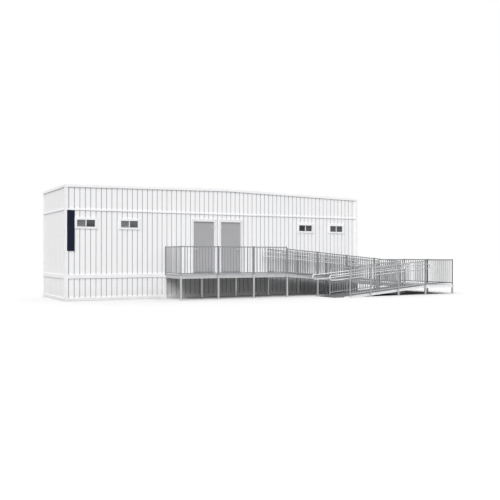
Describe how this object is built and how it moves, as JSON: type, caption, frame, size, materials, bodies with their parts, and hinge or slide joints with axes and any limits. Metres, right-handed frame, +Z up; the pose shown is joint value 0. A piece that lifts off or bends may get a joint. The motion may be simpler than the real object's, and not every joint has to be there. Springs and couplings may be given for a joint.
{
  "type": "portable toilet building with deck and switchback ramp",
  "caption": "Long modular restroom cabin with grooved siding, paired outward doors and high windows, reached by a guarded deck and switchback access ramp.",
  "frame": {"origin": "on the ground under the middle of the front skirting wall", "axes": "+X along the front to the right as seen from the ramps, +Y into the building, +Z up"},
  "size_m": [16.298, 6.712, 4.415],
  "materials": {
    "wall_core": "matte",
    "floor_boards": "matte",
    "white_siding": "satin",
    "white_trim": "satin",
    "roof_sheet": "matte",
    "dark_glass": "gloss",
    "grey_door": "satin",
    "bare_steel": "satin",
    "navy_panel": "satin",
    "mill_aluminium": "satin",
    "dark_rubber": "matte"
  },
  "bodies": {
    "root": {"skirting": "wall_core", "floor_platform": "floor_boards", "front_wall_left": "wall_core", "front_wall_pier": "wall_core", "front_wall_right": "wall_core", "front_wall_head": "wall_core", "back_wall": "wall_core", "left_end_wall": "wall_core", "right_end_wall": "wall_core", "siding_front": "white_siding", "siding_back": "white_siding", "siding_ends": "white_siding", "base_boards": "white_trim", "belt_boards": "white_trim", "corner_boards": "white_trim", "roof_panel": "roof_sheet", "roof_edge": "white_trim", "window_frames": "white_trim", "window_panes": "dark_glass", "door_frames": "white_trim", "door_sills": "mill_aluminium", "hinge_pins": "bare_steel", "blank_sign_panel": "navy_panel", "deck_surface": "mill_aluminium", "deck_frame": "mill_aluminium", "legs": "mill_aluminium", "deck_guards": "mill_aluminium", "upper_ramp_surface": "mill_aluminium", "upper_ramp_frame": "mill_aluminium", "upper_ramp_guards": "mill_aluminium", "upper_handrails": "mill_aluminium", "landing_surface": "mill_aluminium", "landing_frame": "mill_aluminium", "landing_guards": "mill_aluminium", "lower_ramp_surface": "mill_aluminium", "lower_ramp_frame": "mill_aluminium", "lower_ramp_guards": "mill_aluminium", "lower_handrails": "mill_aluminium", "toe_plate": "dark_rubber"},
    "left_leaf": {"left_door": "grey_door", "left_door_fittings": "bare_steel"},
    "left_handle": {"left_lever": "bare_steel"},
    "right_leaf": {"right_door": "grey_door", "right_door_fittings": "bare_steel"},
    "right_handle": {"right_lever": "bare_steel"}
  },
  "joints": [
    {"name": "left_door_hinge", "type": "hinge", "parent": "root", "child": "left_leaf", "pos_m": [-0.6445, -0.099, 1], "axis": [0, 0, 1], "range_deg": [0, 90]},
    {"name": "right_door_hinge", "type": "hinge", "parent": "root", "child": "right_leaf", "pos_m": [-0.3255, -0.099, 1], "axis": [0, 0, -1], "range_deg": [0, 90]},
    {"name": "left_lever_turn", "type": "hinge", "parent": "left_leaf", "child": "left_handle", "pos_m": [-1.4825, -0.055, 1.938], "axis": [0, 1, 0], "range_deg": [0, 45], "stiffness_Nm_per_rad": 1, "springref_deg": -17.19},
    {"name": "right_lever_turn", "type": "hinge", "parent": "right_leaf", "child": "right_handle", "pos_m": [0.5125, -0.055, 1.938], "axis": [0, -1, 0], "range_deg": [0, 45], "stiffness_Nm_per_rad": 1, "springref_deg": -17.19}
  ]
}
